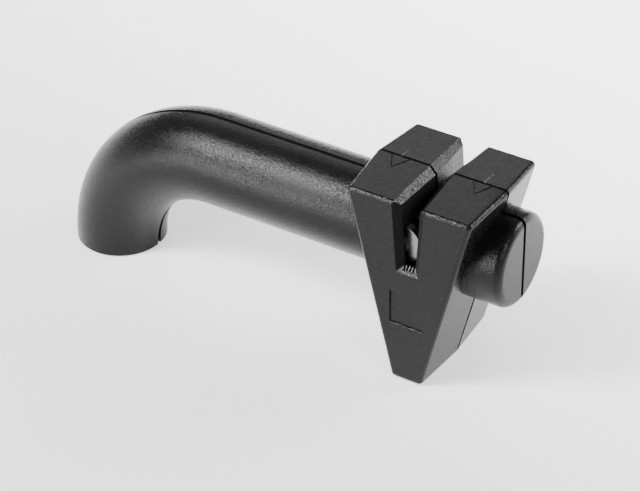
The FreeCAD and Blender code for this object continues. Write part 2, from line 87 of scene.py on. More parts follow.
def objectPlace(tree, centre=(0, 0, 0), stretch=(1, 1, 1)):
    coords = tree.nodes.new("ShaderNodeTexCoord")
    mapping = tree.nodes.new("ShaderNodeMapping")
    mapping.inputs["Location"].default_value = [-c * s for c, s in zip(centre, stretch)]
    mapping.inputs["Scale"].default_value = stretch
    tree.links.new(coords.outputs["Object"], mapping.inputs["Vector"])
    return mapping.outputs["Vector"]


def splitUp(tree, vector):  # its x, y and z
    node = tree.nodes.new("ShaderNodeSeparateXYZ")
    tree.links.new(vector, node.inputs[0])
    return node.outputs


def noise(tree, place, scale, detail, rough):  # scale is per metre
    node = tree.nodes.new("ShaderNodeTexNoise")
    node.inputs["Scale"].default_value = scale
    node.inputs["Detail"].default_value = detail
    node.inputs["Roughness"].default_value = rough
    tree.links.new(place, node.inputs["Vector"])
    return node.outputs["Fac"]


def cells(tree, place, scale):
    node = tree.nodes.new("ShaderNodeTexVoronoi")
    node.inputs["Scale"].default_value = scale
    tree.links.new(place, node.inputs["Vector"])
    return node.outputs["Distance"]


def spread(tree, value, low, high, toLow, toHigh, soft=False):
    node = tree.nodes.new("ShaderNodeMapRange")
    if soft:
        node.interpolation_type = "SMOOTHSTEP"
    sockets = ("From Min", "From Max", "To Min", "To Max")
    for socket, number in zip(sockets, (low, high, toLow, toHigh)):
        node.inputs[socket].default_value = number
    tree.links.new(value, node.inputs["Value"])
    return node.outputs["Result"]


def between(tree, value, low, high, soft):  # 1 inside a range, 0 outside
    rise = spread(tree, value, low - soft, low + soft, 0.0, 1.0, True)
    fall = spread(tree, value, high - soft, high + soft, 1.0, 0.0, True)
    return calc(tree, "MULTIPLY", rise, fall)


def calc(tree, operation, first, second=None):
    node = tree.nodes.new("ShaderNodeMath")
    node.operation = operation
    for index, value in enumerate((first, second)):
        if value is None:
            continue
        if isinstance(value, (int, float)):
            node.inputs[index].default_value = value
        else:
            tree.links.new(value, node.inputs[index])
    return node.outputs[0]


def weighted(tree, first, second, shares):
    return calc(tree, "ADD", calc(tree, "MULTIPLY", first, shares[0]),
                calc(tree, "MULTIPLY", second, shares[1]))


def lengthOf(tree, first, second):
    squares = [calc(tree, "MULTIPLY", side, side) for side in (first, second)]
    return calc(tree, "SQRT", calc(tree, "ADD", *squares))


def colourMix(tree, value, first, second):
    node = tree.nodes.new("ShaderNodeMix")
    node.data_type = "RGBA"
    node.inputs[6].default_value = (*first, 1.0)  # the node's two colour sockets
    node.inputs[7].default_value = (*second, 1.0)
    tree.links.new(value, node.inputs[0])
    return node.outputs[2]


def bump(tree, shader, height, distance, strength):
    node = tree.nodes.new("ShaderNodeBump")
    node.inputs["Strength"].default_value = strength
    node.inputs["Distance"].default_value = distance
    tree.links.new(height, node.inputs["Height"])
    tree.links.new(node.outputs["Normal"], shader.inputs["Normal"])


# studio

studio = {
    "cameraPlace": (0.37748, -0.57156, 0.51381),
    "cameraAim": (0.01220, 0.0, 0.02562),
    "cameraRoll": -0.875,  # degrees
    "lens": 133.05,  # mm
    "sensorWidth": 36.0,  # mm
    "clip": (0.01, 60.0),
    "skyRange": (0.05, 0.62),  # heights between which the sky fades
    "sky": (0.4, 0.16),  # strength low and high
    "lampAim": (0.02, 0.0, 0.04),
    "softboxes": {  # place, size, brightness
        "key": ((-0.413, -0.498, 0.723), (0.24, 0.32), 76.0),
        "low": ((-0.45, -0.80, 0.21), (0.30, 0.36), 26.0),
        "rim": ((0.55, 0.56, 0.42), (0.30, 0.26), 27.0),
        "top": ((-0.42, 0.70, 0.66), (0.8, 0.5), 2.5),
        "fill": ((0.76, -0.40, 0.56), (0.32, 0.32), 13.0),
    },
    "floorSize": 8.0,
    "floorSink": 0.02 * mm,
    "floorColour": (0.86, 0.86, 0.86, 1.0),
    "floorRough": 0.9,
    "floorSpecular": 0.2,
    "glowColour": (1.0, 1.0, 1.0, 1.0),
    "glowSlope": (0.2, 0.98),  # a backlit white table, brighter towards its back
    "glowRange": (-0.12, 0.3),
    "glow": (0.15, 3.2),  # near and far
    "edgeRange": (0.6, 1.6),  # distances between which the edge's glow takes over
    "edgeGlow": 0.5,
}


def aimAt(thing, place, target, roll=0.0):
    thing.location = place
    turn = (Vector(target) - Vector(place)).to_track_quat("-Z", "Y").to_matrix().to_4x4()
    thing.rotation_euler = (turn @ Matrix.Rotation(math.radians(roll), 4, "Z")).to_euler()


def addCamera():
    camera = bpy.data.cameras.new("camera")
    camera.sensor_width = studio["sensorWidth"]
    camera.lens = studio["lens"]
    camera.clip_start, camera.clip_end = studio["clip"]
    seat = newPiece("camera", camera)
    aimAt(seat, studio["cameraPlace"], studio["cameraAim"], studio["cameraRoll"])
    bpy.context.scene.camera = seat


def addSky():
    world = bpy.data.worlds.new("studio")
    bpy.context.scene.world = world
    world.use_nodes = True
    tree = world.node_tree
    tree.nodes.clear()
    coords = tree.nodes.new("ShaderNodeTexCoord")
    back = tree.nodes.new("ShaderNodeBackground")
    out = tree.nodes.new("ShaderNodeOutputWorld")
    height = splitUp(tree, coords.outputs["Generated"])["Z"]
    strength = spread(tree, height, *studio["skyRange"], *studio["sky"], True)
    tree.links.new(strength, back.inputs["Strength"])
    tree.links.new(back.outputs[0], out.inputs["Surface"])


def addLamp(name, place, size, bright):
    lamp = bpy.data.lights.new(name, "AREA")
    lamp.shape = "RECTANGLE"
    lamp.size, lamp.size_y = size
    lamp.energy = bright * math.pi * size[0] * size[1]
    aimAt(newPiece(name, lamp), place, studio["lampAim"])


def addFloor():
    half = studio["floorSize"] / 2
    mesh = bpy.data.meshes.new("floor")
    corners = [(-half, -half, 0), (half, -half, 0), (half, half, 0), (-half, half, 0)]
    mesh.from_pydata(corners, [], [(0, 1, 2, 3)])
    floor = newPiece("floor", mesh)
    floor.location.z = -studio["floorSink"]
    material, tree, shader = newFinish("studioFloor")
    shader.inputs["Base Color"].default_value = studio["floorColour"]
    shader.inputs["Roughness"].default_value = studio["floorRough"]
    shader.inputs["Specular IOR Level"].default_value = studio["floorSpecular"]
    shader.inputs["Emission Color"].default_value = studio["glowColour"]
    x, y, _ = splitUp(tree, objectPlace(tree))
    slope = weighted(tree, x, y, studio["glowSlope"])
    glow = spread(tree, slope, *studio["glowRange"], *studio["glow"], True)
    edge = spread(tree, lengthOf(tree, x, y), *studio["edgeRange"], 0.0, 1.0, True)
    inner = calc(tree, "MULTIPLY", glow, calc(tree, "SUBTRACT", 1.0, edge))
    outer = calc(tree, "MULTIPLY", edge, studio["edgeGlow"])
    tree.links.new(calc(tree, "ADD", inner, outer), shader.inputs["Emission Strength"])
    mesh.materials.append(material)


addCamera()
addSky()
for word, softbox in studio["softboxes"].items():
    addLamp(word + "Softbox", *softbox)
addFloor()
print("studio ready")


# finishes: noise is given as scale per metre, detail and roughness

housingFinish = {
    "dark": (0.0035, 0.0035, 0.0037),
    "light": (0.0065, 0.0065, 0.0068),
    "rough": (0.15, 0.30),
    "specular": 0.17,
    "grain": (2150.0, 1.0, 0.5),  # about 0.5 mm
    "pitScale": 2365.0,
    "pitShare": 0.55,
    "grainHeight": 0.13 * mm,
    "grainStrength": 0.8,
    "clouds": (55.0, 4.0, 0.6),
    "toneShares": (0.6, 0.4),  # of clouds and grain
    "toneRange": (0.3, 0.7),
    "scuffs": (260.0, 5.0, 0.7),
    "scuffStretch": (1.0, 3.0, 2.2),
    "wearShares": (0.3, 0.7),  # of scuffs and grain
    "wearRange": (0.32, 0.68),
    "slotShadeRoughness": 0.95,  # roughness of the slot's upright faces in the front half, part of the painted shade there
    "slotHalf": 7.0 * mm,
    "slotLow": 45.0 * mm,
    "slotSoft": 0.2 * mm,
    "slotFront": 0.06 * mm,  # behind the front face
    "slotRear": 0.3 * mm,  # past the seam
    "slotEndSoft": 0.04 * mm,
    "upright": 0.3,  # height of a face's direction
    "uprightSoft": 0.05,
}


def slotShadeMask(tree):  # 1 on the slot's upright faces in the front half, where shade is painted
    f = housingFinish
    x, y, z = splitUp(tree, objectPlace(tree, centre=(headX, 0, 0)))
    surface = tree.nodes.new("ShaderNodeNewGeometry")
    facing = splitUp(tree, surface.outputs["True Normal"])["Z"]
    mask = between(tree, x, -f["slotHalf"], f["slotHalf"], f["slotSoft"])
    for part in (between(tree, z, f["slotLow"], topHeight, f["slotSoft"]),
                 between(tree, y, f["slotFront"] - halfDepth, f["slotRear"], f["slotEndSoft"]),
                 between(tree, facing, -f["upright"], f["upright"], f["uprightSoft"])):
        mask = calc(tree, "MULTIPLY", mask, part)
    return mask


def housingPlastic():
    material, tree, shader = newFinish("grainedCharcoalPlastic")
    f = housingFinish
    place = objectPlace(tree)
    grain = noise(tree, place, *f["grain"])
    pits = calc(tree, "MULTIPLY", cells(tree, place, f["pitScale"]), f["pitShare"])
    height = calc(tree, "ADD", grain, pits)
    bump(tree, shader, height, f["grainHeight"], f["grainStrength"])
    slotShade = slotShadeMask(tree)
    tone = weighted(tree, noise(tree, place, *f["clouds"]), grain, f["toneShares"])
    # painted shade: on the slot's upright faces the colour is held at the darkest tone
    shade = calc(tree, "MULTIPLY", spread(tree, tone, *f["toneRange"], 0.0, 1.0),
                 calc(tree, "SUBTRACT", 1.0, slotShade))
    tree.links.new(colourMix(tree, shade, f["dark"], f["light"]), shader.inputs["Base Color"])
    scuffs = noise(tree, objectPlace(tree, stretch=f["scuffStretch"]), *f["scuffs"])
    wear = weighted(tree, scuffs, grain, f["wearShares"])
    # painted shade: the slot's upright faces also turn rough, so they reflect little light
    rough = calc(tree, "MAXIMUM", spread(tree, wear, *f["wearRange"], *f["rough"]),
                 calc(tree, "MULTIPLY", slotShade, f["slotShadeRoughness"]))
    tree.links.new(rough, shader.inputs["Roughness"])
    shader.inputs["Specular IOR Level"].default_value = f["specular"]
    return material


def setTone(tree, shader, first, second, f):  # two textures drive colour and roughness
    tone = weighted(tree, first, second, f["toneShares"])
    shade = spread(tree, tone, *f["toneRange"], 0.0, 1.0)
    tree.links.new(colourMix(tree, shade, f["dark"], f["light"]), shader.inputs["Base Color"])
    rough = spread(tree, tone, *f["toneRange"], *f["rough"])
    tree.links.new(rough, shader.inputs["Roughness"])


steelFinish = {
    "dark": (0.17, 0.17, 0.175),
    "light": (0.27, 0.27, 0.28),
    "rough": (0.36, 0.24),
    "rings": (5200.0, 3.0, 0.65),
    "smear": (320.0, 4.0, 0.6),
    "toneShares": (0.6, 0.4),  # of rings and smear
    "toneRange": (0.3, 0.7),
    "ringHeight": 0.004 * mm,
    "ringStrength": 0.7,
}


def groundSteel(name, axis):  # turned and ground, so its marks run round the axle
    material, tree, shader = newFinish(name)
    f = steelFinish
    place = objectPlace(tree, centre=axis)
    x, y, z = splitUp(tree, place)
    join = tree.nodes.new("ShaderNodeCombineXYZ")
    tree.links.new(lengthOf(tree, x, z), join.inputs[0])
    tree.links.new(y, join.inputs[1])
    rings = noise(tree, join.outputs[0], *f["rings"])
    setTone(tree, shader, rings, noise(tree, place, *f["smear"]), f)
    bump(tree, shader, rings, f["ringHeight"], f["ringStrength"])
    shader.inputs["Metallic"].default_value = 1.0
    return material


zincFinish = {
    "dark": (0.36, 0.37, 0.38),
    "light": (0.58, 0.59, 0.6),
    "rough": (0.45, 0.28),
    "spangleScale": 900.0,
    "smear": (700.0, 4.0, 0.6),
    "toneShares": (0.4, 0.6),  # of spangle and smear
    "toneRange": (0.25, 0.7),
    "grain": (3800.0, 2.0, 0.5),
    "grainHeight": 0.006 * mm,
    "grainStrength": 0.6,
}


def zincSteel():
    material, tree, shader = newFinish("zincPlatedSteel")
    f = zincFinish
    place = objectPlace(tree)
    spangle = cells(tree, place, f["spangleScale"])
    setTone(tree, shader, spangle, noise(tree, place, *f["smear"]), f)
    bump(tree, shader, noise(tree, place, *f["grain"]), f["grainHeight"], f["grainStrength"])
    shader.inputs["Metallic"].default_value = 1.0
    return material


plainShared = {
    "clouds": (240.0, 4.0, 0.6),
    "toneShares": (0.6, 0.4),  # of clouds and grain
    "toneRange": (0.3, 0.7),
    "grainStrength": 0.8,
}
plainFinishes = {
    "spacer_plastic": {
        "name": "mouldedSpacerPlastic",
        "dark": (0.030, 0.030, 0.032),
        "light": (0.050, 0.050, 0.053),
        "rough": (0.42, 0.58),
        "grain": (3200.0, 3.0, 0.6),
        "grainHeight": 0.02 * mm,
    },
    "washer_plastic": {
        "name": "acetalWasher",
        "dark": (0.040, 0.040, 0.043),
        "light": (0.065, 0.065, 0.069),
        "rough": (0.34, 0.5),
        "grain": (2600.0, 3.0, 0.6),
        "grainHeight": 0.015 * mm,
    },
    "pad_rubber": {
        "name": "mattRubber",
        "dark": (0.010, 0.010, 0.010),
        "light": (0.020, 0.020, 0.021),
        "rough": (0.72, 0.9),
        "grain": (2900.0, 3.0, 0.6),
        "grainHeight": 0.05 * mm,
    },
}


def plainFinish(f):
    material, tree, shader = newFinish(f["name"])
    place = objectPlace(tree)
    grain = noise(tree, place, *f["grain"])
    setTone(tree, shader, noise(tree, place, *f["clouds"]), grain, f)
    bump(tree, shader, grain, f["grainHeight"], f["grainStrength"])
    return material


finishes = {
    "housing": housingPlastic(),
    "leftSteel": groundSteel("groundSteelLeft", leftAxis),
    "rightSteel": groundSteel("groundSteelRight", rightAxis),
    "plain_steel": zincSteel(),
}
for slotName, look in plainFinishes.items():
    finishes[slotName] = plainFinish({**plainShared, **look})
print("finishes ready:", len(finishes))


# mesh helpers

weldGap = 0.0005 * mm
oneFlat = 0.9999985  # cosine between faces that lie in one flat
prismFaces = [(0, 1, 2), (3, 4, 5), (0, 1, 4, 3), (1, 2, 5, 4), (2, 0, 3, 5)]
blockFaces = [(0, 1, 2, 3), (4, 5, 6, 7), (0, 1, 5, 4), (1, 2, 6, 5), (2, 3, 7, 6), (3, 0, 4, 7)]


def openForm(mesh):
    form = bmesh.new()
    form.from_mesh(mesh)
    return form


def closeForm(form, mesh):
    form.to_mesh(mesh)
    form.free()


def weldedForm(mesh):
    form = openForm(mesh)
    bmesh.ops.remove_doubles(form, verts=form.verts, dist=weldGap)
    return form


def mergedCopy(node, name):
    mesh = frame["nodes"][node].data.copy()
    mesh.name = name
    closeForm(weldedForm(mesh), mesh)
    mesh.materials.clear()
    layer = mesh.attributes.get("custom_normal")
    if layer is not None:
        mesh.attributes.remove(layer)
    return mesh


def bakeDown(piece):  # modifiers become plain mesh
    graph = bpy.context.evaluated_depsgraph_get()
    mesh = bpy.data.meshes.new_from_object(piece.evaluated_get(graph))
    piece.modifiers.clear()
    old = piece.data
    piece.data = mesh
    bpy.data.meshes.remove(old)


def blockPiece(name, corners, faces):
    mesh = bpy.data.meshes.new(name)
    mesh.from_pydata([tuple(corner) for corner in corners], [], faces)
    form = openForm(mesh)
    bmesh.ops.recalc_face_normals(form, faces=form.faces)
    closeForm(form, mesh)
    return newPiece(name, mesh)


def cutAway(piece, cutter):
    cut = piece.modifiers.new("cut", "BOOLEAN")
    cut.operation = "DIFFERENCE"
    cut.solver = "EXACT"
    cut.object = cutter
    bakeDown(piece)
    mesh = cutter.data
    bpy.data.objects.remove(cutter)
    bpy.data.meshes.remove(mesh)


def flatsOf(form, flatArea, flatWidth):  # each face's flat: area, direction, and if it is wide
    flatOf = {}
    for face in form.faces:
        if face.index in flatOf:
            continue
        flatOf[face.index] = None
        members, stack = [], [face]
        while stack:
            one = stack.pop()
            members.append(one)
            for edge in one.edges:
                for other in edge.link_faces:
                    if other.index not in flatOf and other.normal.dot(face.normal) > oneFlat:
                        flatOf[other.index] = None
                        stack.append(other)
        area = sum(one.calc_area() for one in members)
        cloud = np.array([vert.co for one in members for vert in one.verts])
        reach = max(float(np.linalg.norm(np.ptp(cloud, axis=0))), 1e-9)
        wide = area > flatArea and area / reach > flatWidth
        flat = (area, face.normal.copy(), wide)
        flatOf.update((one.index, flat) for one in members)
    return flatOf


def smoothNormals(mesh, limit=34.0, flatArea=60e-6, flatWidth=4e-3, skinAt=None):
    # faces within the limit in degrees blend, wide flats keep their direction up to the fillets
    form = openForm(mesh)
    bmesh.ops.triangulate(form, faces=form.faces)
    form.normal_update()
    form.faces.index_update()
    for index, loop in enumerate(loop for face in form.faces for loop in face.loops):
        loop.index = index
    flatOf = flatsOf(form, flatArea, flatWidth)
    near = math.cos(math.radians(limit))
    normals = {}
    for vert in form.verts:
        around = [(loop, loop.face, loop.calc_angle()) for loop in vert.link_loops]
        skin = skinAt(vert.co) if skinAt else None
        for loop, face, _ in around:
            if skin is not None and skin.dot(face.normal) > near:
                normals[loop.index] = skin
                continue
            kin = [(other, angle) for _, other, angle in around
                   if other.normal.dot(face.normal) > near]
            flats = [flatOf[other.index] for other, _ in kin if flatOf[other.index][2]]
            if flatOf[face.index][2]:
                normal = face.normal
            elif flats:
                normal = max(flats, key=lambda flat: flat[0])[1]
            else:
                normal = sum((other.normal * angle for other, angle in kin), Vector())
            normals[loop.index] = normal.normalized()
    for face in form.faces:
        face.smooth = True
    closeForm(form, mesh)
    mesh.normals_split_custom_set([tuple(normals[index]) for index in range(len(mesh.loops))])


def finishPiece(piece, body, slotName, *nodes):
    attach(piece, body)
    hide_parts(*nodes)
    print(piece.name, len(piece.data.polygons), "faces on", body)


# shells: copies of the moulded halves with the arrow signs cut in

roofFall = 1.55 * mm  # of the head's roof, from the seam to the faces
arrowSign = {
    "offset": 15.7 * mm,  # from the middle of the head
    "reach": 3.848 * mm,  # of each arm to its side
    "length": 6.7 * mm,
    "pastSeam": 0.28 * mm,
    "rightLine": (0.52 * mm, 0.5 * mm),  # width and depth of each engraved line
    "leftLine": (0.26 * mm, 0.26 * mm),
    "shaftLine": (0.48 * mm, 0.24 * mm),
    "shaftStart": -0.4 * mm,
    "shaftEnd": 8.0 * mm,
}


def topAt(y):
    return topHeight - roofFall * abs(y) / halfDepth


def lineCutter(start, end, width, depth):  # a V-shaped line from one place on the roof to another
    along = Vector((end[0] - start[0], end[1] - start[1])).normalized()
    side = Vector((-along.y, along.x)) * width
    corners = []
    for x, y in (start, end):
        level = topAt(y)
        corners += [(x, y, level - depth), (x + side.x, y + side.y, level + depth),
                    (x - side.x, y - side.y, level + depth)]
    return blockPiece("lineCutter", corners, prismFaces)


def arrowHeadCutters(x):
    f = arrowSign
    tip = (x, -f["length"])
    return [lineCutter(tip, (x + f["reach"], f["pastSeam"]), *f["rightLine"]),
            lineCutter((x - f["reach"], f["pastSeam"]), tip, *f["leftLine"])]


def arrowShaftCutters(x):
    f = arrowSign
    return [lineCutter((x, f["shaftStart"]), (x, f["shaftEnd"]), *f["shaftLine"])]


recessSill = {
    "half": 6.6 * mm,
    "height": 23.9 * mm,
    "broken": 0.14 * mm,
    "spare": 0.1 * mm,
}


def sillCutter():  # breaks the lower edge of the bare square in the front face
    f = recessSill
    out, deep = -halfDepth - f["spare"], -halfDepth + f["broken"] + f["spare"]
    low, high = f["height"] - f["broken"] - f["spare"], f["height"] + f["spare"]
    corners = [(headX + side * f["half"], y, z) for side in (-1, 1)
               for y, z in ((out, low), (deep, high), (out, high))]
    return blockPiece("sillCutter", corners, prismFaces)


tubeForm = {
    "radius": 16.9 * mm,
    "axisHeight": 48.8 * mm,
    "bendHeight": 0.6 * mm,
    "slack": 0.02 * mm,
}
bendRadius = tubeForm["axisHeight"] - tubeForm["bendHeight"]
bendX = footX + bendRadius


def fromTubeLine(place):  # from the tube's middle line straight out to a place
    if place.x >= bendX:
        return Vector((0.0, place.y, place.z - tubeForm["axisHeight"]))
    if place.z <= tubeForm["bendHeight"]:
        return Vector((place.x - footX, place.y, 0.0))
    out = Vector((place.x - bendX, 0.0, place.z - tubeForm["bendHeight"]))
    out *= (out.length - bendRadius) / out.length
    return Vector((out.x, place.y, out.z))


def tubeSkin(place):  # the tube's own direction at a place on its outside
    out = fromTubeLine(place)
    onSkin = abs(out.length - tubeForm["radius"]) < tubeForm["slack"]
    return out.normalized() if onSkin else None


seamLine = {  # half the width of the groove
    "packed": 0.3 * mm,
    "onHead": 0.54 * mm,
    "onTube": 0.8 * mm,
    "slack": 0.01 * mm,
}


def openSeam(mesh):  # the groove's walls stand further apart, as moulded edges are broken
    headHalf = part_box("head_foot_pad")[1].x - headX
    reach = tubeForm["radius"] + tubeForm["slack"]
    for vert in mesh.vertices:
        if abs(abs(vert.co.y) - seamLine["packed"]) < seamLine["slack"]:
            beside = abs(vert.co.x - headX) > headHalf
            onTube = beside and fromTubeLine(vert.co).length < reach
            vert.co.y = math.copysign(seamLine["onTube" if onTube else "onHead"], vert.co.y)


for node, cuttersAt in (("front_shell", arrowHeadCutters), ("rear_shell", arrowShaftCutters)):
    name = node.replace("_shell", "ShellSkin")
    shell = newPiece(name, mergedCopy(node, name))
    openSeam(shell.data)
    for side in (-1, 1):
        for cutter in cuttersAt(headX + side * arrowSign["offset"]):
            cutAway(shell, cutter)
    if node == "front_shell":
        cutAway(shell, sillCutter())
    smoothNormals(shell.data, skinAt=tubeSkin)
    shell.data.materials.clear()
    shell.data.materials.append(finishes["housing"])
    finishPiece(shell, "housing", "housing", node)


# Geometry Nodes helpers

def newTree(name, inputs):
    tree = bpy.data.node_groups.new(name, "GeometryNodeTree")
    for way in ("INPUT", "OUTPUT"):
        tree.interface.new_socket("Geometry", in_out=way, socket_type="NodeSocketGeometry")
    for word, kind in inputs:
        tree.interface.new_socket(word, in_out="INPUT", socket_type="NodeSocket" + kind)
    source = tree.nodes.new("NodeGroupInput")
    sink = tree.nodes.new("NodeGroupOutput")
    return tree, source.outputs, sink.inputs["Geometry"]


def step(tree, kind, settings=None, **feeds):
    full = kind if kind.startswith(("Shader", "Function")) else "GeometryNode" + kind
    node = tree.nodes.new(full)
    for word, value in (settings or {}).items():
        setattr(node, word, value)
    for word, value in feeds.items():
        socket = node.inputs[word.replace("_", " ")]
        if isinstance(value, bpy.types.NodeSocket):
            tree.links.new(value, socket)
        else:
            socket.default_value = value
    return node


def vectorOf(tree, x=0.0, y=0.0, z=0.0):
    return step(tree, "ShaderNodeCombineXYZ", X=x, Y=y, Z=z).outputs[0]


def centredRow(tree, given):  # points along Y, about the origin
    gaps = calc(tree, "SUBTRACT", given["Count"], 1.0)
    start = calc(tree, "MULTIPLY", calc(tree, "MULTIPLY", gaps, given["Pitch"]), -0.5)
    return step(tree, "MeshLine", Count=given["Count"], Start_Location=vectorOf(tree, y=start),
                Offset=vectorOf(tree, y=given["Pitch"])).outputs[0]


def endTree(tree, shape, finish, sink):
    real = step(tree, "RealizeInstances", Geometry=shape).outputs[0]
    tree.links.new(step(tree, "SetMaterial", Geometry=real, Material=finish).outputs[0], sink)
    return tree


def runTree(piece, tree, values):  # runs a tree once and keeps the plain mesh
    grower = piece.modifiers.new("grow", "NODES")
    grower.node_group = tree
    for item in tree.interface.items_tree:
        if item.in_out == "INPUT" and item.name in values:
            grower[item.identifier] = values[item.name]
    bakeDown(piece)


def growPiece(name, tree, values, seeds):  # grown from points
    mesh = bpy.data.meshes.new(name)
    mesh.from_pydata(seeds, [], [])
    piece = newPiece(name, mesh)
    runTree(piece, tree, values)
    piece.data.name = name
    return piece


# rollers: ground steel discs with rounded rims, as many as the frame has

discStack = {"rim": 0.3 * mm, "rimSteps": 4, "segments": 120}


def discStackTree():
    tree, given, sink = newTree("discStack", [
        ("Count", "Int"), ("Pitch", "Float"), ("Radius", "Float"), ("Bore", "Float"),
        ("Thickness", "Float"), ("Rim", "Float"), ("Rim Steps", "Int"), ("Segments", "Int"),
        ("Middle", "Vector"), ("Finish", "Material")])
    wide = calc(tree, "SUBTRACT", given["Radius"], given["Bore"])
    both = calc(tree, "ADD", given["Radius"], given["Bore"])
    path = step(tree, "CurvePrimitiveCircle", Resolution=given["Segments"],
                Radius=calc(tree, "MULTIPLY", both, 0.5)).outputs["Curve"]
    section = step(tree, "CurvePrimitiveQuadrilateral", Width=wide, Height=given["Thickness"])
    rounded = step(tree, "FilletCurve", {"mode": "POLY"}, Curve=section.outputs[0],
                   Radius=given["Rim"], Count=given["Rim Steps"]).outputs[0]
    ring = step(tree, "CurveToMesh", Curve=path, Profile_Curve=rounded).outputs[0]
    upright = step(tree, "Transform", Geometry=ring, Rotation=(math.pi / 2, 0, 0)).outputs[0]
    placed = step(tree, "Transform", Geometry=centredRow(tree, given),
                  Translation=given["Middle"]).outputs[0]
    copies = step(tree, "InstanceOnPoints", Points=placed, Instance=upright).outputs[0]
    return endTree(tree, copies, given["Finish"], sink)


stackTree = discStackTree()
for side, axis in (("left", leftAxis), ("right", rightAxis)):
    discs = sorted(node for node in frame["nodes"] if node.startswith(side + "_disc_"))
    low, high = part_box(discs[0])
    hubLow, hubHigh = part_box(side + "_hub")
    stack = growPiece(side + "DiscStack", stackTree, {
        "Count": len(discs),
        "Pitch": abs(middleOf(discs[1]).y - middleOf(discs[0]).y),
        "Radius": (high.x - low.x) / 2,
        "Bore": (hubHigh.x - hubLow.x) / 2,
        "Thickness": high.y - low.y,
        "Rim": discStack["rim"],
        "Rim Steps": discStack["rimSteps"],
        "Segments": discStack["segments"],
        "Middle": axis,
        "Finish": finishes[side + "Steel"],
    }, [(0, 0, 0)])
    smoothNormals(stack.data)
    finishPiece(stack, side + "_roller", "hardened_steel", *discs)


# screws: pan heads with a plain cross recess and a rolled thread, all from one screw

screwLook = {
    "segments": 28,
    "headHeight": 2.0 * mm,
    "headRound": 0.8 * mm,
    "roundSteps": 5,
    "headEdge": 0.12 * mm,
    "core": 1.05 * mm,
    "crest": 1.45 * mm,
    "ridgeHalf": 0.3,  # of the pitch
    "pitch": 1.1 * mm,
    "stepsPerTurn": 6,
    "taper": 1.45 * mm,
    "tip": 0.5,  # of the full width
    "crossReach": 1.55 * mm,
    "crossWidth": 0.36 * mm,
    "crossDepth": 1.15 * mm,
    "crossAbove": 0.2 * mm,
    "crossMouth": (1.06, 1.08),  # shares of reach and width
    "crossFoot": (0.45, 0.7),
    "smooth": (40.0, 8e-6, 1.2e-3),  # limit, flat area and flat width
    "seed": 4,
}


def islandsOf(node):  # boxes of a node's separate solids
    form = weldedForm(frame["nodes"][node].data)
    seen, boxes = set(), []
    for vert in form.verts:
        if vert in seen:
            continue
        seen.add(vert)
        stack, points = [vert], []
        while stack:
            one = stack.pop()
            points.append(one.co.copy())
            for edge in one.link_edges:
                other = edge.other_vert(one)
                if other not in seen:
                    seen.add(other)
                    stack.append(other)
        cloud = np.array(points)
        boxes.append((Vector(cloud.min(axis=0)), Vector(cloud.max(axis=0))))
    form.free()
    return boxes


def screwPiece(headRadius, length):  # axis along Y, seat at the origin, tip towards -Y
    f = screwLook
    count = f["segments"]

    def pointAt(radius, y, k):
        angle = 2 * math.pi * k / count
        return radius * math.cos(angle), y, radius * math.sin(angle)

    rings = []
    for turn in range(f["roundSteps"] + 1):  # rounded rim of the head
        angle = math.pi / 2 * (1 - turn / f["roundSteps"])
        rings.append((headRadius - f["headRound"] + f["headRound"] * math.cos(angle),
                      f["headHeight"] - f["headRound"] + f["headRound"] * math.sin(angle)))
    rings += [(headRadius, f["headEdge"]), (headRadius - f["headEdge"], 0.0), (f["crest"], 0.0)]
    points = [(0.0, f["headHeight"], 0.0)]
    for radius, y in rings:
        points += [pointAt(radius, y, k) for k in range(count)]
    total = int(length / f["pitch"] * f["stepsPerTurn"])
    for number in range(1, total + 1):
        y = -length * number / total
        narrow = min(1.0, f["tip"] + (1.0 - f["tip"]) * (length + y) / f["taper"])
        for k in range(count):
            phase = (y / f["pitch"] + k / count) % 1.0
            ridge = max(0.0, 1.0 - abs(phase - 0.5) / f["ridgeHalf"])
            radius = (f["core"] + (f["crest"] - f["core"]) * ridge) * narrow
            points.append(pointAt(radius, y, k))
    points.append((0.0, -length, 0.0))
    ringCount = len(rings) + total
    faces = [(0, 1 + (k + 1) % count, 1 + k) for k in range(count)]
    for ring in range(ringCount - 1):
        here, there = 1 + ring * count, 1 + (ring + 1) * count
        faces += [(here + k, here + (k + 1) % count, there + (k + 1) % count, there + k)
                  for k in range(count)]
    last = 1 + (ringCount - 1) * count
    faces += [(last + k, last + (k + 1) % count, len(points) - 1) for k in range(count)]
    return blockPiece("screwShape", points, faces)


def crossCutter(turned):
    f = screwLook
    corners = []
    for y, shares in ((f["headHeight"] + f["crossAbove"], f["crossMouth"]),
                      (f["headHeight"] - f["crossDepth"], f["crossFoot"])):
        reach, half = f["crossReach"] * shares[0], f["crossWidth"] * shares[1]
        outline = [(-reach, -half), (reach, -half), (reach, half), (-reach, half)]
        corners += [(b, y, a) if turned else (a, y, b) for a, b in outline]
    return blockPiece("crossCutter", corners, blockFaces)


def screwRowTree():
    tree, given, sink = newTree("screwRow", [
        ("Screw", "Object"), ("Seed", "Int"), ("Finish", "Material")])
    shape = step(tree, "ObjectInfo", Object=given["Screw"]).outputs["Geometry"]
    chance = step(tree, "FunctionNodeRandomValue", Seed=given["Seed"]).outputs[1]
    turn = calc(tree, "MULTIPLY", chance, 2 * math.pi)  # each screw ends at its own angle
    twist = step(tree, "FunctionNodeEulerToRotation", Euler=vectorOf(tree, y=turn)).outputs[0]
    copies = step(tree, "InstanceOnPoints", Points=given["Geometry"], Instance=shape,
                  Rotation=twist).outputs[0]
    return endTree(tree, copies, given["Finish"], sink)


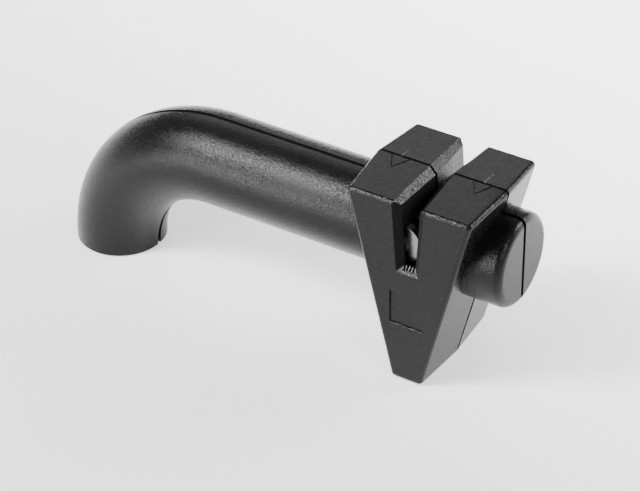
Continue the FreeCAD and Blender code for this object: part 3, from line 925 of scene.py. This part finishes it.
screwBoxes = islandsOf("shell_screws")
oneLow, oneHigh = screwBoxes[0]
seatY = oneHigh.y - screwLook["headHeight"]
pattern = screwPiece((oneHigh.x - oneLow.x) / 2, seatY - oneLow.y)
for turned in (False, True):
    cutAway(pattern, crossCutter(turned))
screws = growPiece("shellScrews", screwRowTree(), {
    "Screw": pattern,
    "Seed": screwLook["seed"],
    "Finish": finishes["plain_steel"],
}, [((low.x + high.x) / 2, seatY, (low.z + high.z) / 2) for low, high in screwBoxes])
bpy.data.objects.remove(pattern)
smoothNormals(screws.data, *screwLook["smooth"])
finishPiece(screws, "housing", "plain_steel", "shell_screws")


# pads: rubber with grooves cut into the standing face

padLook = {
    "edge": 0.3 * mm,
    "corner": 2.0 * mm,
    "cornerSteps": 6,
    "roundSegments": 96,
    "grooveRadius": 0.55 * mm,
    "grooveSides": 16,
    "grooveSink": 0.12 * mm,  # of the groove's own centre below the face
    "barPitch": 2.4 * mm,
    "barMargin": 3.2 * mm,
    "barOverrun": 4.0 * mm,
    "ringPitch": 2.3 * mm,
    "ringFirst": 2.4 * mm,
    "ringCount": 4,
    "ringSegments": 72,
    "weld": 0.002 * mm,
    "holeSides": 4,
    "smooth": (40.0, 8e-6, 0.8e-3),  # limit, flat area and flat width
}


def padSlab(name, outline, low, high):
    edge = padLook["edge"]
    middle = [sum(place[k] for place in outline) / len(outline) for k in (0, 1)]
    inner = []
    for x, y in outline:
        out = Vector((x - middle[0], y - middle[1]))
        pull = edge / max(out.length, edge)
        inner.append((x - out.x * pull, y - out.y * pull))
    count = len(outline)
    corners = [(x, y, low) for x, y in inner] + [(x, y, low + edge) for x, y in outline]
    corners += [(x, y, high) for x, y in outline]
    faces = [tuple(range(count)), tuple(range(2 * count, 3 * count))]
    for ring in (0, count):
        above = ring + count
        faces += [(ring + k, ring + (k + 1) % count, above + (k + 1) % count, above + k)
                  for k in range(count)]
    return blockPiece(name, corners, faces)


def grooveTree(name, inputs, cuttersOf):
    tree, given, sink = newTree(name, [
        ("Groove Radius", "Float"), ("Sink", "Float"), ("Count", "Int"), ("Pitch", "Float"),
        ("Middle", "Vector"), ("Finish", "Material"), *inputs])
    moved = step(tree, "Transform", Geometry=cuttersOf(tree, given), Translation=given["Middle"])
    down = vectorOf(tree, z=calc(tree, "MULTIPLY", given["Sink"], -1.0))
    cutters = step(tree, "Transform", Geometry=moved.outputs[0], Translation=down).outputs[0]
    cut = step(tree, "MeshBoolean", {"operation": "DIFFERENCE"}, Mesh_1=given["Geometry"],
               Mesh_2=cutters).outputs["Mesh"]
    return endTree(tree, cut, given["Finish"], sink)


def barCutters(tree, given):  # straight grooves side by side
    bar = step(tree, "MeshCylinder", Vertices=padLook["grooveSides"],
               Radius=given["Groove Radius"], Depth=given["Length"]).outputs["Mesh"]
    flat = step(tree, "Transform", Geometry=bar, Rotation=(0, math.pi / 2, 0)).outputs[0]
    copies = step(tree, "InstanceOnPoints", Points=centredRow(tree, given), Instance=flat)
    return step(tree, "RealizeInstances", Geometry=copies.outputs[0]).outputs[0]


def ringCutters(tree, given):  # rings about the middle
    unit = step(tree, "CurvePrimitiveCircle", Resolution=padLook["ringSegments"],
                Radius=1.0).outputs["Curve"]
    row = step(tree, "MeshLine", Count=given["Count"]).outputs[0]
    order = step(tree, "InputIndex").outputs[0]
    radius = calc(tree, "ADD", calc(tree, "MULTIPLY", order, given["Pitch"]), given["First"])
    spot = step(tree, "SetPosition", Geometry=row, Position=vectorOf(tree)).outputs[0]
    copies = step(tree, "InstanceOnPoints", Points=spot, Instance=unit,
                  Scale=vectorOf(tree, radius, radius, radius)).outputs[0]
    paths = step(tree, "RealizeInstances", Geometry=copies).outputs[0]
    section = step(tree, "CurvePrimitiveCircle", Resolution=padLook["grooveSides"],
                   Radius=given["Groove Radius"]).outputs["Curve"]
    return step(tree, "CurveToMesh", Curve=paths, Profile_Curve=section).outputs[0]


def groovePad(piece, tree, values):
    runTree(piece, tree, {
        "Groove Radius": padLook["grooveRadius"],
        "Sink": padLook["grooveSink"],
        "Finish": finishes["pad_rubber"],
        **values,
    })
    form = openForm(piece.data)
    for vert in form.verts:  # the cut can leave a point a hair below the floor
        vert.co.z = max(vert.co.z, values["Middle"][2])
    bmesh.ops.remove_doubles(form, verts=form.verts, dist=padLook["weld"])
    bmesh.ops.triangulate(form, faces=form.faces)
    rims = [edge for edge in form.edges if edge.is_boundary]
    bmesh.ops.holes_fill(form, edges=rims, sides=padLook["holeSides"])
    bmesh.ops.recalc_face_normals(form, faces=form.faces)
    closeForm(form, piece.data)
    smoothNormals(piece.data, *padLook["smooth"])


low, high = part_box("head_foot_pad")
corner = padLook["corner"]
outline = []
for x, y, start in ((high.x - corner, high.y - corner, 0), (low.x + corner, high.y - corner, 90),
                    (low.x + corner, low.y + corner, 180), (high.x - corner, low.y + corner, 270)):
    for k in range(padLook["cornerSteps"] + 1):
        angle = math.radians(start + 90 / padLook["cornerSteps"] * k)
        outline.append((x + corner * math.cos(angle), y + corner * math.sin(angle)))
headPad = padSlab("headFootPad", outline, low.z, high.z)
barSpan = high.y - low.y - 2 * padLook["barMargin"]
groovePad(headPad, grooveTree("padBars", [("Length", "Float")], barCutters), {
    "Count": int(barSpan / padLook["barPitch"]) + 1,
    "Pitch": padLook["barPitch"],
    "Length": high.x - low.x + padLook["barOverrun"],
    "Middle": (headX, 0.0, low.z),
})
finishPiece(headPad, "housing", "pad_rubber", "head_foot_pad")

low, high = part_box("handle_foot_pad")
radius = (high.x - low.x) / 2
outline = []
for k in range(padLook["roundSegments"]):
    angle = 2 * math.pi * k / padLook["roundSegments"]
    outline.append((footX + radius * math.cos(angle), radius * math.sin(angle)))
footPad = padSlab("handleFootPad", outline, low.z, high.z)
groovePad(footPad, grooveTree("padRings", [("First", "Float")], ringCutters), {
    "Count": padLook["ringCount"],
    "Pitch": padLook["ringPitch"],
    "First": padLook["ringFirst"],
    "Middle": (footX, 0.0, low.z),
})
finishPiece(footPad, "housing", "pad_rubber", "handle_foot_pad")


# carried-over nodes get their finishes

slotOf = {item["node"]: item["material_slot"] for item in frame["record"]["subparts"]}
for node, thing in frame["nodes"].items():
    if thing.hide_render:
        continue
    slotName = slotOf[node]
    if slotName == "hardened_steel":
        slotName = "leftSteel" if node.startswith("left") else "rightSteel"
    thing.data.materials.clear()
    thing.data.materials.append(finishes[slotName])
print("finishes set on the carried-over nodes")
